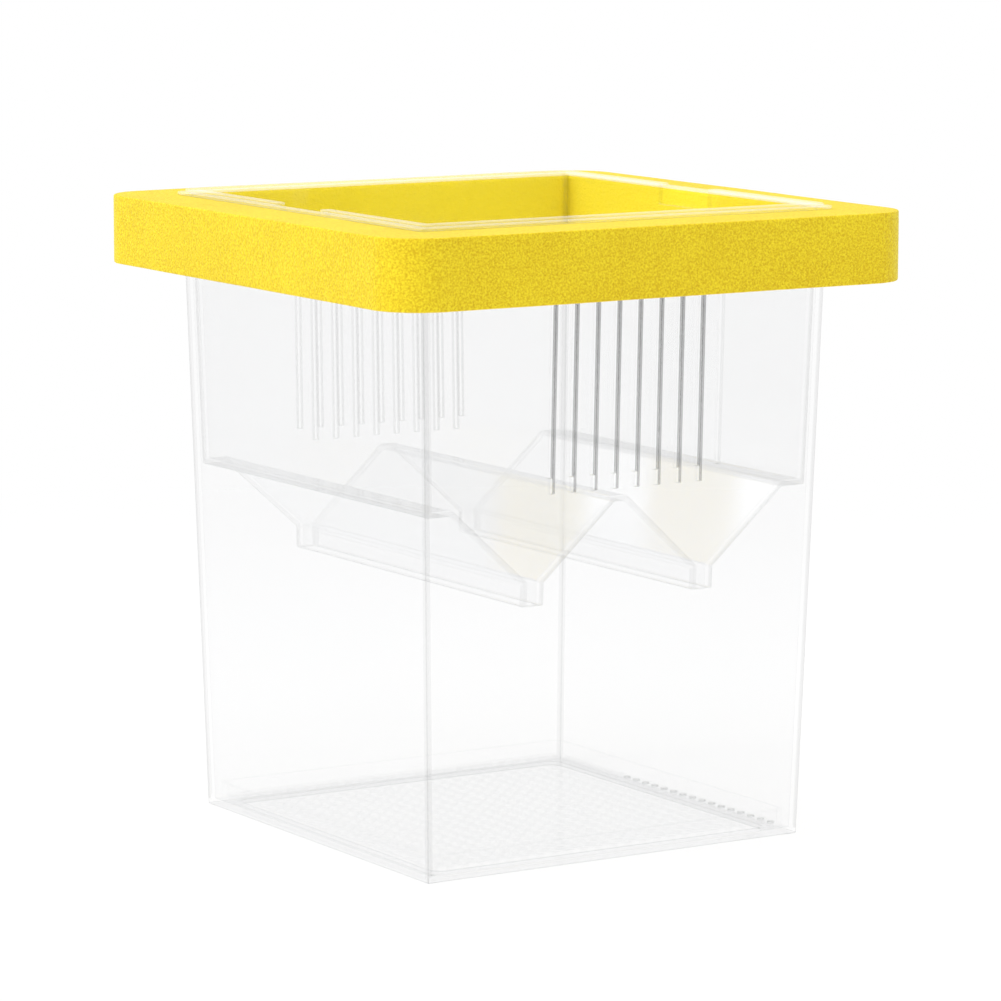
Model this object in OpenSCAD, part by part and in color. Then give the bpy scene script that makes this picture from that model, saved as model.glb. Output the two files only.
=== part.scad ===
// Floating fish breeding box: a clear outer box in a foam ring, with a lift-out
// hopper box hanging inside it and a loose perforated tray on its foot.
// Millimetres, +Z up, origin at the centre of the face that it stands on.

/* [Outer box] */
// Outside width of the square box at the table
base_w = 93; // [84:1:105]
// Height of the top of the outer box's lip
rim_z = 135.6; // [125:0.2:150]
// Lean of every wall away from upright, as a moulded box needs
draft_angle = 1.55; // [1:0.05:2]
// Thickness of the outer box's walls
outer_wall_t = 1.1; // [0.8:0.05:1.6]
// Thickness of the outer box's lip
outer_lip_t = 0.6; // [0.5:0.05:1]
// How far the outer box's lip stands out from its wall
outer_lip_w = 1.3; // [0.8:0.1:3]
// Corner radius of the outer box's lip
outer_lip_r = 2.4; // [1:0.1:5]
// Thickness of the foot that the tray lies on
foot_t = 1.2; // [0.8:0.1:3]
// Width of the foot, inwards from the wall
foot_w = 3.5; // [2:0.1:8]

/* [Water slots] */
// Width of one slot
slot_w = 1.1; // [0.6:0.05:1.4]
// Distance between neighbouring slots
slot_pitch = 5.25; // [4.2:0.05:6]
// Slots in each slotted wall of the outer box
outer_slots = 8; // [4:1:10]
// Slots in each slotted wall of the hopper box
inner_slots = 9; // [4:1:10]
// Height of the lower end of the outer box's slots
outer_slot_z = 79; // [60:1:100]
// Height of the lower end of the hopper box's slots
inner_slot_z = 82; // [80:1:100]
// Distance from the outer box's rim down to the upper end of all slots
slot_drop = 11.6; // [10.6:0.1:30]
// Distance of the outer box's slot rows from the middle of their walls
outer_slot_shift = 0.55; // [-2:0.05:2]
// The same distance for the slots of the hopper box that lie behind them
inner_slot_shift = 1.0; // [-2:0.05:2]

/* [Hopper box] */
// Running clearance between the walls of the two boxes
box_gap = 0.35; // [0.3:0.05:0.6]
// Thickness of the hopper box's walls and sloping floors
inner_wall_t = 1.1; // [0.8:0.05:1.6]
// Thickness of the hopper box's lip
inner_lip_t = 0.6; // [0.5:0.05:1]
// How far the hopper box's lip stands out from its wall
inner_lip_w = 1.4; // [1:0.1:2.5]
// Corner radius of the hopper box's lip
inner_lip_r = 2.0; // [1:0.1:4]
// Height of the underside of the side ledges and of the middle ridge
hopper_z = 76; // [70:0.5:79]
// Distance from the middle to the start of each outer slope
ledge_x = 41.4; // [34:0.2:43]
// Half width of the flat top of the middle ridge
ridge_half = 1.4; // [0.5:0.1:5]
// Distance of each chute's centre from the middle
chute_x = 21.2; // [15:0.1:26]
// Outside width of a chute
chute_w = 5.2; // [4.5:0.1:8]
// Height at which the slopes run into the chutes
chute_top_z = 60.3; // [58:0.1:64]
// Height of the open lower end of the chutes
chute_z = 55.6; // [50:0.1:56.5]
// Width of each finger notch in the rim
notch_w = 18.6; // [12:0.2:30]
// Depth of each finger notch below the top of the rim
notch_h = 4.6; // [2:0.1:8]

/* [Foam ring] */
// Outside width of the square ring
ring_w = 128; // [118:1:140]
// Height of the ring, the thickness of the foam sheet
ring_h = 15; // [12:0.5:20]
// Corner radius of the ring
ring_r = 10.5; // [5:0.5:18]
// Clearance between the top of the ring's hole and the outer box's wall
ring_gap = 0.3; // [0.2:0.05:0.6]

/* [Tray] */
// Height of the tray, plate and rim together
tray_h = 4; // [2.5:0.1:7]
// Thickness of the perforated plate
plate_t = 1.2; // [0.8:0.1:1.6]
// Thickness of the tray's rim
tray_rim_t = 1.1; // [0.8:0.1:2]
// Corner radius of the tray
tray_r = 3; // [2:0.1:6]
// Clearance between the tray and the outer box's wall
tray_gap = 0.3; // [0.2:0.05:0.8]
// Distance between neighbouring holes
hole_pitch = 3.7; // [3:0.1:6]
// Diameter of one hole
hole_d = 1.6; // [1:0.1:2]
// Least plain border between the holes and the rim
hole_border = 0.6; // [0.5:0.1:3]

/* [Hidden] */
$fn = 48;
lean = tan(draft_angle);
// Extra length of a cut past the face it opens
past = 1;
// Longer than any width or height of the part
reach = 2 * ring_w;
// Depth of a cut that goes through one wall and stays clear of the others
wall_cut = base_w / 4;

slot_top_z = rim_z - slot_drop;
inner_rim_z = rim_z + inner_lip_t;
ring_top_z = rim_z - outer_lip_t;
ring_z = ring_top_z - ring_h;
ring_hole = 2 * (outer_half(ring_top_z) + ring_gap);
hopper_run = ledge_x - chute_x - chute_w / 2;
ridge_run = chute_x - chute_w / 2 - ridge_half;
hopper_drop = hopper_z - chute_top_z;
outer_slope = atan(hopper_drop / hopper_run);
inner_slope = atan(hopper_drop / ridge_run);
throat_half = chute_w / 2 - inner_wall_t;
tray_half = outer_half(foot_t) - outer_wall_t - tray_gap;
hole_field = 2 * (tray_half - tray_rim_t - hole_border) - hole_d;
hole_count = floor(hole_field / hole_pitch) + 1;

// Half width over the outside of the outer box at height z
function outer_half(z) = base_w / 2 + z * lean;

// Half width over the outside of the hopper box at height z
function inner_half(z) = outer_half(z) - outer_wall_t - box_gap;

// Outline of a polygon and its own mirror image in the upright axis
function both_sides(right) =
    concat(right, [for (i = [len(right) - 1 : -1 : 0]) [-right[i][0], right[i][1]]]);

// Upright profile in x and z, drawn out along y
module along_y(points, depth) {
    rotate([90, 0, 0])
        linear_extrude(depth, center = true)
            polygon(points);
}

// Square block from z0 to z1 with leaning walls, half wide at z0
module tapered_block(half, z0, z1) {
    half_top = half + (z1 - z0) * lean;
    side = [[-half, z0], [half, z0], [half_top, z1], [-half_top, z1]];
    intersection() {
        along_y(side, reach);
        rotate([0, 0, 90])
            along_y(side, reach);
    }
}

module rounded_square(half, r) {
    square([2 * half, 2 * (half - r)], center = true);
    square([2 * (half - r), 2 * half], center = true);
    for (x = [-1, 1], y = [-1, 1])
        translate([x * (half - r), y * (half - r)])
            circle(r);
}

module rounded_slab(half, r, z0, z1) {
    translate([0, 0, z0])
        linear_extrude(z1 - z0)
            rounded_square(half, r);
}

// Cutters for the slots of the wall at wall_y, of which the row starts so
// many slots before the outer box's row
module slot_row(count, before, shift, z0, wall_y) {
    first_x = shift - (before + (outer_slots - 1) / 2) * slot_pitch;
    for (i = [0 : count - 1])
        translate([first_x + i * slot_pitch - slot_w / 2, wall_y - wall_cut / 2, z0])
            cube([slot_w, wall_cut, slot_top_z - z0]);
}

module outer_box() {
    color("azure", 0.4)
    difference() {
        union() {
            tapered_block(base_w / 2, 0, rim_z);
            rounded_slab(outer_half(rim_z) + outer_lip_w, outer_lip_r, rim_z - outer_lip_t, rim_z);
        }
        tapered_block(outer_half(foot_t) - outer_wall_t, foot_t, rim_z + past);
        rounded_slab(outer_half(0) - outer_wall_t - foot_w, tray_r, -past, foot_t + past);
        for (side = [-1, 1])
            slot_row(outer_slots, 0, outer_slot_shift, outer_slot_z, side * outer_half(outer_slot_z));
    }
}

// Everything above the underside of the double hopper
module hopper_outside() {
    along_y(both_sides([
        [reach, inner_rim_z + past],
        [reach, hopper_z],
        [ledge_x, hopper_z],
        [chute_x + chute_w / 2, chute_top_z],
        [chute_x + chute_w / 2, chute_z],
        [chute_x - chute_w / 2, chute_z],
        [chute_x - chute_w / 2, chute_top_z],
        [ridge_half, hopper_z],
    ]), reach);
}

// Everything above the upper side of the hopper, with the two throats
module hopper_inside() {
    throat_out = chute_x + throat_half;
    throat_in = chute_x - throat_half;
    ledge_top_x = ledge_x - inner_wall_t * tan(outer_slope / 2);
    ridge_top_x = ridge_half + inner_wall_t * tan(inner_slope / 2);
    top_z = hopper_z + inner_wall_t;
    along_y(both_sides([
        [reach, inner_rim_z + 2 * past],
        [reach, top_z],
        [ledge_top_x, top_z],
        [throat_out, top_z - (ledge_top_x - throat_out) * tan(outer_slope)],
        [throat_out, chute_z - past],
        [throat_in, chute_z - past],
        [throat_in, top_z - (throat_in - ridge_top_x) * tan(inner_slope)],
        [ridge_top_x, top_z],
    ]), reach);
}

// The hopper box has more slots in a row than the outer box, and what it has
// more lies at opposite ends of the two slotted walls.
module inner_box() {
    more = inner_slots - outer_slots;
    color("azure", 0.4)
    difference() {
        union() {
            intersection() {
                tapered_block(inner_half(chute_z), chute_z, inner_rim_z);
                hopper_outside();
            }
            rounded_slab(inner_half(rim_z) + inner_lip_w, inner_lip_r, rim_z, inner_rim_z);
        }
        intersection() {
            tapered_block(inner_half(chute_z) - inner_wall_t - past * lean, chute_z - past,
                inner_rim_z + past);
            hopper_inside();
        }
        translate([-reach / 2, -notch_w / 2, inner_rim_z - notch_h])
            cube([reach, notch_w, notch_h + past]);
        for (side = [-1, 1])
            slot_row(inner_slots, side < 0 ? 0 : more, inner_slot_shift, inner_slot_z,
                side * inner_half(inner_slot_z));
    }
}

// Cut from foam sheet, so its hole is straight and not drafted as the box is
module float_ring() {
    color("gold")
    translate([0, 0, ring_z])
        linear_extrude(ring_h)
            difference() {
                rounded_square(ring_w / 2, ring_r);
                square(ring_hole, center = true);
            }
}

// Perforated plate with a low rim, loose on the outer box's foot
module floor_tray() {
    first = -(hole_count - 1) * hole_pitch / 2;
    color("aliceblue", 0.6)
    translate([0, 0, foot_t])
    union() {
        linear_extrude(plate_t)
            difference() {
                rounded_square(tray_half, tray_r);
                for (i = [0 : hole_count - 1], j = [0 : hole_count - 1])
                    translate([first + i * hole_pitch, first + j * hole_pitch])
                        circle(d = hole_d, $fn = 16);
            }
        linear_extrude(tray_h)
            difference() {
                rounded_square(tray_half, tray_r);
                rounded_square(tray_half - tray_rim_t, tray_r - tray_rim_t);
            }
    }
}

outer_box();
inner_box();
float_ring();
floor_tray();
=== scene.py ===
import math

import bmesh
import bpy
from mathutils import Matrix, Vector, noise
from mathutils.bvhtree import BVHTree


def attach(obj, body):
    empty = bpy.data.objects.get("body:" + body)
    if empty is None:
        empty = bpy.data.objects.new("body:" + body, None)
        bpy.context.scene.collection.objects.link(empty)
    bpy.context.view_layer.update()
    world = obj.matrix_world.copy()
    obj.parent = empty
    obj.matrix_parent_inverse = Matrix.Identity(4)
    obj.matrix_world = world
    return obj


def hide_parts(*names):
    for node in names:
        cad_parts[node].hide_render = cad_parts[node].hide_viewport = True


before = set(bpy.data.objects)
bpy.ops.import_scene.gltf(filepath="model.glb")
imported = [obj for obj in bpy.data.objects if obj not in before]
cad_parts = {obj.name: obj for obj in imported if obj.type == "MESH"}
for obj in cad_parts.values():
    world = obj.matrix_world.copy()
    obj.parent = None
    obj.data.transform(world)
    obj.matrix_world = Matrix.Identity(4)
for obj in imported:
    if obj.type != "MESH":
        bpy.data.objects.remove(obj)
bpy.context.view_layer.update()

# Floating fish breeding box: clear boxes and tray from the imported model, and a new foam ring.
# Metres throughout, +Z up, the camera stands to the front left.
mm = 0.001


class Wire:      # one socket of a shader, so that shader maths reads as Python
    def __init__(self, graph, socket):
        self.graph, self.socket = graph, socket

    def calc(self, operation, first, second):
        return self.graph.add("ShaderNodeMath", {"operation": operation}, {0: first, 1: second})

    def __add__(self, other):
        return self.calc("ADD", self, other)

    def __radd__(self, other):
        return self.calc("ADD", other, self)

    def __sub__(self, other):
        return self.calc("SUBTRACT", self, other)

    def __rsub__(self, other):
        return self.calc("SUBTRACT", other, self)

    def __mul__(self, other):
        return self.calc("MULTIPLY", self, other)

    def __rmul__(self, other):
        return self.calc("MULTIPLY", other, self)

    def __pow__(self, other):
        return self.calc("POWER", self, other)

    def __gt__(self, other):
        return self.calc("GREATER_THAN", self, other)

    def __lt__(self, other):
        return self.calc("LESS_THAN", self, other)

    def __abs__(self):
        return self.calc("ABSOLUTE", self, 0)


class Graph:     # the node tree of one material or of the world
    def __init__(self, owner):
        owner.use_nodes = True
        self.tree = owner.node_tree
        self.tree.nodes.clear()

    def add(self, kind, settings=None, values=None, out=0):
        node = self.tree.nodes.new(kind)
        for name, value in (settings or {}).items():
            if name == "stops":
                self.setStops(node.color_ramp, value)
            else:
                setattr(node, name, value)
        for name, value in (values or {}).items():
            socket = node.inputs[name]
            if isinstance(value, Wire):
                self.tree.links.new(value.socket, socket)
            else:
                socket.default_value = value
        return Wire(self, node.outputs[out]) if node.outputs else node

    def setStops(self, ramp, stops):
        while len(ramp.elements) < len(stops):
            ramp.elements.new(0.5)
        for element, (place, level) in zip(ramp.elements, stops):
            element.position, element.color = place, (level, level, level, 1)

    def mix(self, share, first, second):
        settings = {"data_type": "RGBA"}
        return self.add("ShaderNodeMix", settings, {0: share, 6: first, 7: second}, out=2)

    def grain(self, size, detail=2.0, roughness=0.5):
        place = self.add("ShaderNodeTexCoord", out="Object")
        values = {"Vector": place, "Scale": 1 / size, "Detail": detail, "Roughness": roughness}
        return self.add("ShaderNodeTexNoise", None, values)

    def show(self, shader, kind="ShaderNodeOutputMaterial"):
        self.add(kind, None, {"Surface": shader})


def srgb(red, green, blue):
    def linear(c):
        c = c / 255
        return c / 12.92 if c <= 0.04045 else ((c + 0.055) / 1.055) ** 2.4
    return (linear(red), linear(green), linear(blue), 1)


# Camera, at the photograph's angle
view = {"azimuth": -32.396, "elevation": 8.525, "roll": 0.164, "distance": 1.0506,
        "target": (0.00034, 0, 0.07009), "lens": 174.66, "sensor": 36}


def addCamera():
    a, e = math.radians(view["azimuth"]), math.radians(view["elevation"])
    back = Vector((math.sin(a) * math.cos(e), -math.cos(a) * math.cos(e), math.sin(e)))
    data = bpy.data.cameras.new("photoCamera")
    data.lens, data.sensor_width = view["lens"], view["sensor"]
    data.clip_start, data.clip_end = 0.01, 50
    camera = bpy.data.objects.new("photoCamera", data)
    bpy.context.scene.collection.objects.link(camera)
    turn = (-back).to_track_quat("-Z", "Y").to_matrix().to_4x4()
    place = Matrix.Translation(Vector(view["target"]) + back * view["distance"])
    camera.matrix_world = place @ turn @ Matrix.Rotation(math.radians(view["roll"]), 4, "Z")
    bpy.context.scene.camera = camera
    print("camera placed")


# Materials: lets is the share of light that one face of the clear plastic lets through
clear = {"lets": 0.9917, "roughness": 0.12, "shine": 0.03, "wave": 22 * mm, "waveDepth": 0.03 * mm}
# painted shade: the softened edges let less light through than the walls, a grey tint standing in for the light
# the real edges bend away; the hopper's edges are painted lighter
edge = {"lets": 0.83, "hopperLets": 0.925, "softLets": 0.963, "roughness": 0.16}
# painted shade: wall parts with more than a few millimetres of plastic behind them, seen end on, are tinted
# darker
endOn = {"lets": 0.925, "roughness": 0.12}
rim = {"lets": 0.99, "glow": 0.18, "mirror": 0.2, "roughness": 0.15}
# painted shade: slot sides are tinted grey, darker towards the top; the back slots' sides are a lighter grey
slotSide = {"lets": 0.56, "highLets": 0.42, "high": (90 * mm, 124 * mm), "roughness": 0.3}
backSlotSide = {"lets": 0.86, "roughness": 0.3}
# painted shade: the hole walls, a row of them beside the right wall and a ring round each hole are tinted darker
tray = {"lets": 0.998, "mirror": 0.5, "holeLets": 0.99, "field": 43.6 * mm, "pitch": 3.7 * mm,
        "holeEdge": 1.0 * mm, "edgeLets": 0.95, "rowLets": 0.84, "row": (41.6 * mm, 15 * mm, 1.95 * mm)}
# deep and pale are the foam's own tones, which differ at random; the hole's tone is painted light
foam = {"deep": srgb(203, 168, 2), "pale": srgb(233, 211, 34), "cell": 0.45 * mm, "patch": 16 * mm,
        "roughness": 0.75, "bump": 0.36 * mm, "sheen": 0.5, "sheenTint": srgb(255, 255, 150),
        "hole": 50.6 * mm, "holeLitTone": srgb(253, 230, 44)}


def seeThrough(g, lets):
    return g.add("ShaderNodeBsdfTransparent", None, {"Color": (lets, lets, lets, 1)})


def clearPlastic(name, lets, roughness, paintedLightAndShade=None, share=1):
    material = bpy.data.materials.new(name)
    g = Graph(material)
    smear = g.grain(14 * mm, 3)
    wave = g.grain(clear["wave"], 1)
    bump = g.add("ShaderNodeBump", None, {"Height": wave, "Distance": clear["waveDepth"], "Strength": 1})
    mirror = g.add("ShaderNodeBsdfPrincipled", None, {
        "Base Color": srgb(250, 251, 252), "Metallic": 1,
        "Roughness": roughness * (0.6 + 0.8 * smear), "Normal": bump})
    through = seeThrough(g, lets)
    # the painted shade and glow of slots, rims and tray go onto the see-through part
    if paintedLightAndShade:
        through = paintedLightAndShade(g, through)
    facing = g.add("ShaderNodeLayerWeight", None, {"Blend": 0.5}, out="Facing")
    shine = share * (clear["shine"] + (1 - clear["shine"]) * facing ** 5)
    g.show(g.add("ShaderNodeMixShader", None, {0: shine, 1: through, 2: mirror}))
    return material


def axis(g, vector, name):
    return g.add("ShaderNodeSeparateXYZ", None, {0: vector}, out=name)


def fraction(g, value):
    return g.add("ShaderNodeMath", {"operation": "FRACT"}, {0: value})


def paintsSlotShade(g, through):            # painted shade: a slot's side is clear from within the wall and painted grey from the slot, darker towards the top
    place = g.add("ShaderNodeTexCoord", out="Object")
    low, high = slotSide["high"]
    up = g.add("ShaderNodeMapRange", None, {"Value": axis(g, place, "Z"), "From Min": low, "From Max": high})
    sides = g.add("ShaderNodeMixShader", None, {0: up, 1: through, 2: seeThrough(g, slotSide["highLets"])})
    trapped = g.add("ShaderNodeFresnel", None, {"IOR": 1.5})
    return g.add("ShaderNodeMixShader", None, {0: trapped, 1: sides, 2: seeThrough(g, clear["lets"])})


def paintedRimGlow(g, through):                 # painted glow: the rims get a white diffuse layer that stands in for the light that runs up inside the walls
    glow = g.add("ShaderNodeBsdfDiffuse", None, {"Color": srgb(252, 252, 250)})
    return g.add("ShaderNodeMixShader", None, {0: rim["glow"], 1: through, 2: glow})


# Painted shade: the holes' walls are tinted a little darker, most so at the top of the front ones beside the
# right wall, and the flat plate is painted darker in a ring round each hole for the shade of its rounded edge.
def showsHoles(g, through):
    upright = abs(axis(g, g.add("ShaderNodeNewGeometry", out="Normal"), "Z")) < 0.5
    place = g.add("ShaderNodeTexCoord", out="Object")
    x, y, z = (axis(g, place, name) for name in "XYZ")
    inField = (abs(x) < tray["field"]) * (abs(y) < tray["field"])
    right, back, high = tray["row"]
    inShadedRow = (x > right) * (y < back) * (z > high)
    sides = g.add("ShaderNodeMixShader", None, {
        0: inShadedRow, 1: seeThrough(g, tray["holeLets"]), 2: seeThrough(g, tray["rowLets"])})
    across, along = (fraction(g, v * (1 / tray["pitch"])) - 0.5 for v in (x, y))
    onShadedRing = (across * across + along * along < (tray["holeEdge"] / tray["pitch"]) ** 2) * inField
    plate = g.add("ShaderNodeMixShader", None, {0: onShadedRing, 1: through, 2: seeThrough(g, tray["edgeLets"])})
    return g.add("ShaderNodeMixShader", None, {0: upright * inField, 1: plate, 2: sides})


def foamMaterial():
    material = bpy.data.materials.new("closedCellFoam")
    g = Graph(material)
    cells = g.grain(foam["cell"], 2, 0.6)
    patch = g.grain(foam["patch"], 3)
    place = g.add("ShaderNodeTexCoord", out="Object")
    pores = g.add("ShaderNodeTexVoronoi", {"feature": "F1"}, {"Vector": place, "Scale": 1 / (2.2 * foam["cell"])})
    light = g.add("ShaderNodeValToRGB", {"stops": [(0.36, 0), (0.64, 1)]}, {0: cells * 0.86 + patch * 0.14})
    # painted light: the hole's cut faces are painted an even, paler yellow, lighter than the light reaching them
    # behind the plastic makes them
    paintedLightInHole = (abs(axis(g, place, "X")) < foam["hole"]) * (abs(axis(g, place, "Y")) < foam["hole"])
    colour = g.mix(paintedLightInHole, g.mix(light, foam["deep"], foam["pale"]), foam["holeLitTone"])
    height = cells * 0.7 + pores * 0.3
    bump = g.add("ShaderNodeBump", None, {"Height": height, "Distance": foam["bump"], "Strength": 1})
    g.show(g.add("ShaderNodeBsdfPrincipled", None, {
        "Base Color": colour, "Roughness": foam["roughness"] + 0.1 * cells, "Normal": bump,
        "Specular IOR Level": 0.3, "Sheen Weight": foam["sheen"], "Sheen Roughness": 0.35,
        "Sheen Tint": foam["sheenTint"]}))
    return material


clearWall = clearPlastic("clearWall", clear["lets"], clear["roughness"])
clearEdge = clearPlastic("clearEdge", edge["lets"], edge["roughness"])
clearHopperEdge = clearPlastic("clearHopperEdge", edge["hopperLets"], edge["roughness"])
clearSlot = clearPlastic("clearSlot", slotSide["lets"], slotSide["roughness"], paintsSlotShade)
clearBackSlot = clearPlastic("clearBackSlot", backSlotSide["lets"], backSlotSide["roughness"])
clearSoftEdge = clearPlastic("clearSoftEdge", edge["softLets"], edge["roughness"])
clearEnd = clearPlastic("clearEnd", endOn["lets"], endOn["roughness"])
clearRim = clearPlastic("clearRim", rim["lets"], rim["roughness"], paintedRimGlow, rim["mirror"])
clearTray = clearPlastic("clearTray", tray["lets"], clear["roughness"], showsHoles, tray["mirror"])
mouldMaterials = [clearWall, clearEdge, clearSlot, clearBackSlot, clearSoftEdge, clearEnd, clearRim]
hopperMaterials = [clearWall, clearHopperEdge] + mouldMaterials[2:]
yellowFoam = foamMaterial()
print("materials made")


def finishPiece(mesh, name, body, nodeName, materials):
    piece = bpy.data.objects.new(name, mesh)
    bpy.context.scene.collection.objects.link(piece)
    for material in materials:
        mesh.materials.append(material)
    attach(piece, body)
    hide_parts(nodeName)
    return piece


# Clear mouldings: the imported solids with every edge softened as a mould leaves it. Each face takes its material
# by what it is, the edges, ends, slots and rims with painted shade and glow, and the numbers are places in the
# list of mould materials.
mould = {"width": 0.24 * mm, "slotWidth": 0.03 * mm, "angle": 25, "seatGap": 0.03 * mm,
         "bigFace": 80 * mm * mm, "deep": 3 * mm, "rimZ": 134.9 * mm, "footZ": 20 * mm}
wallPart, edgePart, slotPart, backSlotPart, softEdgePart, endPart, rimPart = range(7)


def markSlots(bm, low, high, reach):
    for face in bm.faces:
        middle, normal = face.calc_center_median(), face.normal
        inSlot = low < middle.z < high and abs(middle.x) < reach and abs(middle.y) > 44 * mm
        if inSlot and abs(normal.y) < 0.5 and (abs(normal.x) > 0.9 or abs(normal.z) > 0.9):
            face.material_index = slotPart if middle.y < 0 else backSlotPart


def sharpEdges(bm, ofSlot):
    return [e for e in bm.edges if len(e.link_faces) == 2
            and e.calc_face_angle(0) > math.radians(mould["angle"])
            and any(f.material_index in (slotPart, backSlotPart) for f in e.link_faces) == ofSlot]


def bigPlanes(bm):
    planes = {}
    for face in bm.faces:
        if face.calc_area() > mould["bigFace"]:
            co, no = face.calc_center_median(), face.normal.copy()
            key = tuple(round(v, 2) for v in no) + (round(co.dot(no) / mm, 1),)
            planes[key] = (co, no)
    return planes.values()


def cutAlong(bm, planes):              # flat faces are cut where another plate stands behind them
    for co, no in planes:
        faces = [f for f in bm.faces if f.material_index == wallPart and abs(f.normal.dot(no)) < 0.5
                 and f.calc_area() > mm * mm]
        edges = {e for f in faces for e in f.edges}
        corners = {v for f in faces for v in f.verts}
        bmesh.ops.bisect_plane(bm, geom=faces + list(edges) + list(corners), dist=0.001 * mm,
                               plane_co=co, plane_no=no)


def markEnds(bm):
    tree = BVHTree.FromBMesh(bm)
    biggest = {}
    for loops in bm.calc_loop_triangles():
        a, b, c = (loop.vert.co for loop in loops)
        area = (b - a).cross(c - a).length
        face = loops[0].face
        if area > biggest.get(face, (0, None))[0]:
            biggest[face] = (area, (a + b + c) / 3)
    for face, (area, point) in biggest.items():
        height = face.calc_center_median().z
        # the rims take the painted glow
        if height > mould["rimZ"]:
            face.material_index = rimPart
        elif face.material_index in (slotPart, backSlotPart) and 0.3 < abs(face.normal.x) < 0.9:
            face.material_index = wallPart
        # painted shade: edges that face up, and hollow edges, take a lighter grey than the other edges
        elif face.material_index == edgePart:
            along = max(face.edges, key=lambda e: e.calc_length())
            if abs(face.normal.z) > 0.3 or not along.is_convex:
                face.material_index = softEdgePart
        # painted shade: wall faces above the foot with a thick plate behind them take the darker end-on tint
        elif face.material_index == wallPart and height > mould["footZ"]:
            depth = tree.ray_cast(point - face.normal * 0.02 * mm, -face.normal)[3]
            if depth and depth > mould["deep"]:
                face.material_index = endPart


def softMoulding(nodeName, name, body, liftedZ, slotZone, pieceMaterials):
    bm = bmesh.new()
    bm.from_mesh(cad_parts[nodeName].data)
    bmesh.ops.remove_doubles(bm, verts=bm.verts, dist=0.002 * mm)
    bmesh.ops.dissolve_limit(bm, angle_limit=math.radians(0.5), verts=bm.verts, edges=bm.edges)
    for v in bm.verts:
        if abs(v.co.z - liftedZ) < 0.005 * mm:
            v.co.z += mould["seatGap"]
    bm.normal_update()
    planes = bigPlanes(bm)
    markSlots(bm, *slotZone)
    bmesh.ops.bevel(bm, geom=sharpEdges(bm, False), offset=mould["width"], segments=3, profile=0.5,
                    affect="EDGES", clamp_overlap=False, material=edgePart)
    bm.normal_update()
    bmesh.ops.bevel(bm, geom=sharpEdges(bm, True), offset=mould["slotWidth"], segments=1, profile=0.5,
                    affect="EDGES", clamp_overlap=True, material=-1)
    bm.normal_update()
    cutAlong(bm, planes)
    bm.normal_update()
    markEnds(bm)
    mesh = bpy.data.meshes.new(name)
    bm.to_mesh(mesh)
    bm.free()
    mesh.shade_smooth()
    piece = finishPiece(mesh, name, body, nodeName, pieceMaterials)
    weighted = piece.modifiers.new("flatFaces", "WEIGHTED_NORMAL")
    weighted.weight = 100
    counts = [0] * len(pieceMaterials)
    for face in mesh.polygons:
        counts[face.material_index] += 1
    print(name, len(mesh.polygons), "faces", counts)
    return piece


# Foam ring: cut from sheet, with crisp but soft edges and a slightly uneven surface
ring = {"outerHalf": 63.9 * mm, "radius": 10.5 * mm, "bottom": 120.0 * mm, "top": 134.97 * mm,
        "holeLow": 50.04 * mm, "holeHigh": 50.45 * mm, "edge": 0.45 * mm, "step": 0.9 * mm,
        "rough": 0.05 * mm, "wave": 0.12 * mm}


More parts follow.
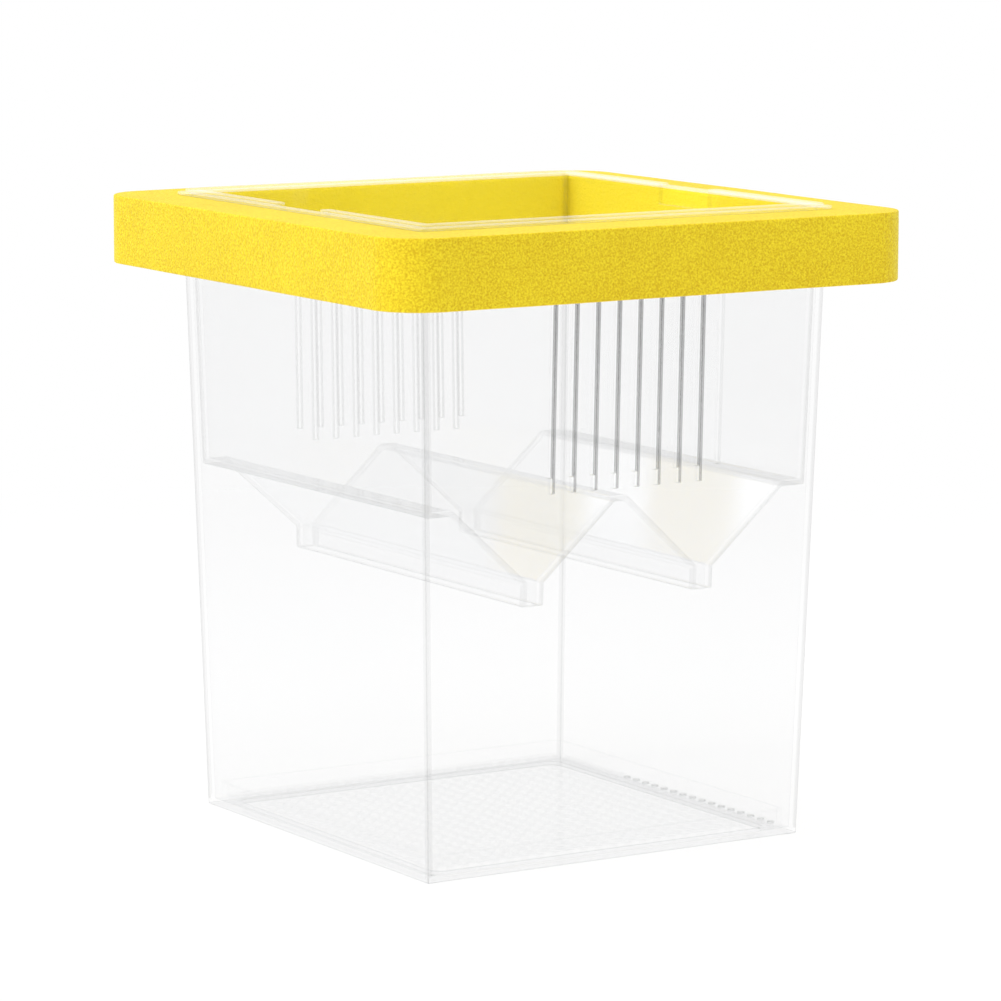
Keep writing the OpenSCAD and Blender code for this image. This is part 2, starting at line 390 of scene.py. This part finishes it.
def foamRing():
    h, r = ring["outerHalf"], ring["radius"]
    straight = math.ceil(2 * (h - r) / ring["step"])
    arc = math.ceil(math.pi / 2 * r / ring["step"])
    outline = []                       # outer point and hole corner side of each spoke
    for k in range(4):
        turn = Matrix.Rotation(math.pi / 2 * k, 2)
        for i in range(straight):      # the side at +X, from the front to the back
            y = -(h - r) + 2 * (h - r) * i / straight
            outer, inner = Vector((h, y)), Vector((1, y / (h - r)))
            outline.append((turn @ outer, turn @ inner))
        for i in range(arc):
            a = math.pi / 2 * i / arc
            outer = Vector((h - r + r * math.cos(a), h - r + r * math.sin(a)))
            outline.append((turn @ outer, turn @ Vector((1, 1))))
    lo, hi, e = ring["bottom"], ring["top"], ring["edge"]
    tall = math.ceil((hi - lo - 2 * e) / ring["step"])
    wide = 14
    section = []                       # share of the way in, height, from the outer top edge round
    for i in range(5):                 # rounded outer top edge
        a = math.pi / 2 * (1 - i / 4)
        section.append(("out", e * (1 - math.cos(a)), hi - e * (1 - math.sin(a))))
    for i in range(1, tall):
        section.append(("out", 0, hi - e - (hi - lo - 2 * e) * i / tall))
    for i in range(5):
        a = math.pi / 2 * i / 4
        section.append(("out", e * (1 - math.cos(a)), lo + e * (1 - math.sin(a))))
    for i in range(1, wide):
        section.append(("low", i / wide, lo))
    for i in range(tall + 1):
        section.append(("in", i / tall, 0))
    for i in range(wide - 1, 0, -1):
        section.append(("high", i / wide, hi))
    bm = bmesh.new()
    rows = []
    for outer, inner in outline:
        away = outer.normalized()
        row = []
        for kind, first, second in section:
            holeLow, holeHigh = inner * ring["holeLow"], inner * ring["holeHigh"]
            corner = outer - away * e
            if kind == "out":
                x, y, z = *(outer - away * first), second
            elif kind == "low":
                x, y, z = *corner.lerp(holeLow, first), second
            elif kind == "high":
                x, y, z = *corner.lerp(holeHigh, first), second
            else:
                x, y, z = *holeLow.lerp(holeHigh, first), lo + (hi - lo) * first
            row.append(bm.verts.new((x, y, z)))
        rows.append(row)
    count = len(section)
    for i, row in enumerate(rows):
        following = rows[(i + 1) % len(rows)]
        for j in range(count):
            k = (j + 1) % count
            corners = [row[j], row[k], following[k], following[j]]
            if (corners[0].co - corners[3].co).length < 1e-6:
                if (corners[1].co - corners[2].co).length > 1e-6:
                    bm.faces.new(corners[:3])
                continue
            if (corners[1].co - corners[2].co).length < 1e-6:
                bm.faces.new([corners[0], corners[1], corners[3]])
                continue
            bm.faces.new(corners)
    bmesh.ops.remove_doubles(bm, verts=bm.verts, dist=0.001 * mm)
    bmesh.ops.recalc_face_normals(bm, faces=bm.faces)
    bm.normal_update()
    for v in bm.verts:                 # the surface only sinks in, so the ring stays in its place
        fine = noise.noise(v.co / (1.1 * mm)) * 0.5 + 0.5
        wave = noise.noise(v.co / (26 * mm)) * 0.5 + 0.5
        v.co -= v.normal * (ring["rough"] * fine + ring["wave"] * wave)
    mesh = bpy.data.meshes.new("foamFloatRing")
    bm.to_mesh(mesh)
    bm.free()
    mesh.shade_smooth()
    piece = finishPiece(mesh, "foamFloatRing", "float_ring", "float_ring", [yellowFoam])
    print("foam ring", len(mesh.polygons), "faces")
    return piece


# Stage: white floor and world. Close to the object the floor shows its shadow, and further out
# it runs into the white background.
stage = {"floor": 6.0, "tone": 0.86, "near": 0.16, "far": 0.5, "shadowShare": 0.1,
         "worldFill": 0.95, "mirrored": 0.97}


def addStage():
    mesh = bpy.data.meshes.new("paleFloor")
    bm = bmesh.new()
    bmesh.ops.create_grid(bm, x_segments=1, y_segments=1, size=stage["floor"])
    bm.to_mesh(mesh)
    bm.free()
    floor = bpy.data.objects.new("paleFloor", mesh)
    floor.location.z = -0.02 * mm
    bpy.context.scene.collection.objects.link(floor)
    material = bpy.data.materials.new("paleFloor")
    g = Graph(material)
    place = g.add("ShaderNodeTexCoord", out="Object")
    away = g.add("ShaderNodeVectorMath", {"operation": "LENGTH"}, {0: place}, out="Value")
    fade = g.add("ShaderNodeMapRange", {"interpolation_type": "SMOOTHSTEP"}, {
        "Value": away, "From Min": stage["near"], "From Max": stage["far"],
        "To Min": stage["shadowShare"], "To Max": 0})
    bounced = g.add("ShaderNodeLightPath", out="Is Diffuse Ray")
    white = g.add("ShaderNodeEmission", None, {"Color": (1, 1, 1, 1), "Strength": 1})
    matt = g.add("ShaderNodeBsdfDiffuse", None, {"Color": (stage["tone"], stage["tone"], stage["tone"], 1)})
    share = fade + (1 - fade) * bounced
    g.show(g.add("ShaderNodeMixShader", None, {0: share, 1: white, 2: matt}))
    mesh.materials.append(material)
    world = bpy.data.worlds.new("paleWorld")
    bpy.context.scene.world = world
    g = Graph(world)
    seen = g.add("ShaderNodeLightPath", out="Is Camera Ray")
    passed = g.add("ShaderNodeLightPath", out="Is Transmission Ray")
    mirrored = g.add("ShaderNodeLightPath", out="Is Glossy Ray")
    plain = stage["worldFill"]
    level = plain + (1 - plain) * (seen + passed) + (stage["mirrored"] - plain) * mirrored
    g.show(g.add("ShaderNodeBackground", None, {"Strength": level}), "ShaderNodeOutputWorld")


lamps = [
    {"name": "keyLamp", "place": (-1.5, 0.2, 1.0), "size": 0.9, "power": 11.3},
    {"name": "topLamp", "place": (-0.2, -0.2, 1.7), "size": 1.2, "power": 18.0},
    {"name": "backLamp", "place": (0.2, 1.1, 1.5), "size": 1.1, "power": 5.0},
    {"name": "fillLamp", "place": (0.7, -1.6, 0.7), "size": 1.0, "power": 0.5},
]


def addLamps():
    for lamp in lamps:
        data = bpy.data.lights.new(lamp["name"], "AREA")
        data.size, data.energy = lamp["size"], lamp["power"]
        piece = bpy.data.objects.new(lamp["name"], data)
        bpy.context.scene.collection.objects.link(piece)
        piece.location = lamp["place"]
        aim = Vector((0, 0, 0.08)) - piece.location
        piece.rotation_euler = aim.to_track_quat("-Z", "Y").to_euler()
    print("stage lit")


addCamera()
softMoulding("outer_box", "outerBox", "outer_box", -1, (78.5 * mm, 124.5 * mm, 20 * mm),
             mouldMaterials)
softMoulding("inner_box", "hopperBox", "inner_box", 135.6 * mm,
             (81.5 * mm, 124.5 * mm, 25 * mm), hopperMaterials)
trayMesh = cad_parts["floor_tray"]
trayMesh.data.materials.clear()
trayMesh.data.materials.append(clearTray)
foamRing()
addStage()
addLamps()

scene = bpy.context.scene
scene.view_settings.view_transform = "Standard"
scene.cycles.max_bounces = 16
scene.cycles.glossy_bounces = 8
scene.cycles.transparent_max_bounces = 128
